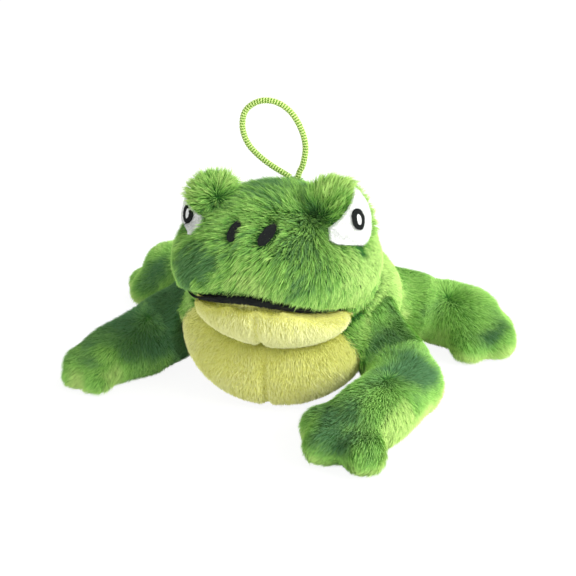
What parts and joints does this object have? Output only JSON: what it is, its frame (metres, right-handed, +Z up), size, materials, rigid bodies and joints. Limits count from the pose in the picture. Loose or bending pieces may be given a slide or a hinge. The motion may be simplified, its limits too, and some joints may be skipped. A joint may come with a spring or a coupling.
{
  "type": "plush_toy",
  "caption": "Stuffed plush frog lying on its belly, green pile with a yellow jaw and belly, white felt eyes, and a lime hanging loop.",
  "frame": {"origin": "centre of the box round the frog, without the loop, at the height of the surface it lies on", "axes": "+Z up, the frog faces -Y, +X is the frog's own left"},
  "size_m": [0.197, 0.187, 0.1243],
  "materials": {
    "green_plush": "matte",
    "yellow_plush": "matte",
    "white_felt": "matte",
    "black_thread": "satin",
    "white_thread": "satin",
    "fibre_filling": "matte",
    "lime_cord": "matte"
  },
  "bodies": {
    "torso": {"back_skin": "green_plush", "belly_panel_left": "yellow_plush", "belly_panel_right": "yellow_plush", "body_filling": "fibre_filling"},
    "head": {"head_skin": "green_plush", "head_filling": "fibre_filling", "jaw_panel_left": "yellow_plush", "jaw_panel_right": "yellow_plush", "jaw_filling": "fibre_filling", "eye_mound_left": "green_plush", "eye_mound_right": "green_plush", "eye_white_left": "white_felt", "eye_white_right": "white_felt", "pupil_left": "black_thread", "pupil_right": "black_thread", "eye_glint_left": "white_thread", "eye_glint_right": "white_thread", "nostril_left": "black_thread", "nostril_right": "black_thread", "mouth_line": "black_thread", "loop_tab": "green_plush", "hang_loop": "lime_cord"},
    "upper_arm_left": {"upper_arm_left_skin": "green_plush", "upper_arm_left_filling": "fibre_filling"},
    "forearm_left": {"forearm_left_skin": "green_plush", "forearm_left_filling": "fibre_filling"},
    "upper_arm_right": {"upper_arm_right_skin": "green_plush", "upper_arm_right_filling": "fibre_filling"},
    "forearm_right": {"forearm_right_skin": "green_plush", "forearm_right_filling": "fibre_filling"},
    "thigh_left": {"thigh_left_skin": "green_plush", "thigh_left_filling": "fibre_filling"},
    "foot_left": {"foot_left_skin": "green_plush", "foot_left_filling": "fibre_filling"},
    "thigh_right": {"thigh_right_skin": "green_plush", "thigh_right_filling": "fibre_filling"},
    "foot_right": {"foot_right_skin": "green_plush", "foot_right_filling": "fibre_filling"}
  },
  "joints": [
    {"name": "head_nod", "type": "hinge", "parent": "torso", "child": "head", "pos_m": [0.00009, -0.00841, 0.0622], "axis": [-1, 0, 0], "range_deg": [0, 18]},
    {"name": "arm_left_lift", "type": "hinge", "parent": "torso", "child": "upper_arm_left", "pos_m": [0.0391, -0.00451, 0.0247], "axis": [-0.766, -0.6428, 0], "range_deg": [0, 15]},
    {"name": "arm_left_swing", "type": "hinge", "parent": "upper_arm_left", "child": "forearm_left", "pos_m": [0.0598, -0.02918, 0.0133], "axis": [0, 0, 1], "range_deg": [0, 25]},
    {"name": "arm_right_lift", "type": "hinge", "parent": "torso", "child": "upper_arm_right", "pos_m": [-0.03963, 0.0034, 0.026], "axis": [-0.6428, 0.766, 0], "range_deg": [0, 15]},
    {"name": "arm_right_swing", "type": "hinge", "parent": "upper_arm_right", "child": "forearm_right", "pos_m": [-0.06261, -0.01588, 0.014], "axis": [0, 0, -1], "range_deg": [0, 20]},
    {"name": "leg_left_lift", "type": "hinge", "parent": "torso", "child": "thigh_left", "pos_m": [0.03142, 0.04069, 0.0221], "axis": [0.2079, -0.9781, 0], "range_deg": [0, 20]},
    {"name": "leg_left_swing", "type": "hinge", "parent": "thigh_left", "child": "foot_left", "pos_m": [0.0637, 0.04755, 0.0145], "axis": [0, 0, 1], "range_deg": [0, 20]},
    {"name": "leg_right_lift", "type": "hinge", "parent": "torso", "child": "thigh_right", "pos_m": [-0.03098, 0.04408, 0.0234], "axis": [0.6691, 0.7431, 0], "range_deg": [0, 20]},
    {"name": "leg_right_swing", "type": "hinge", "parent": "thigh_right", "child": "foot_right", "pos_m": [-0.05922, 0.06951, 0.014], "axis": [0, 0, -1], "range_deg": [0, 20]}
  ]
}
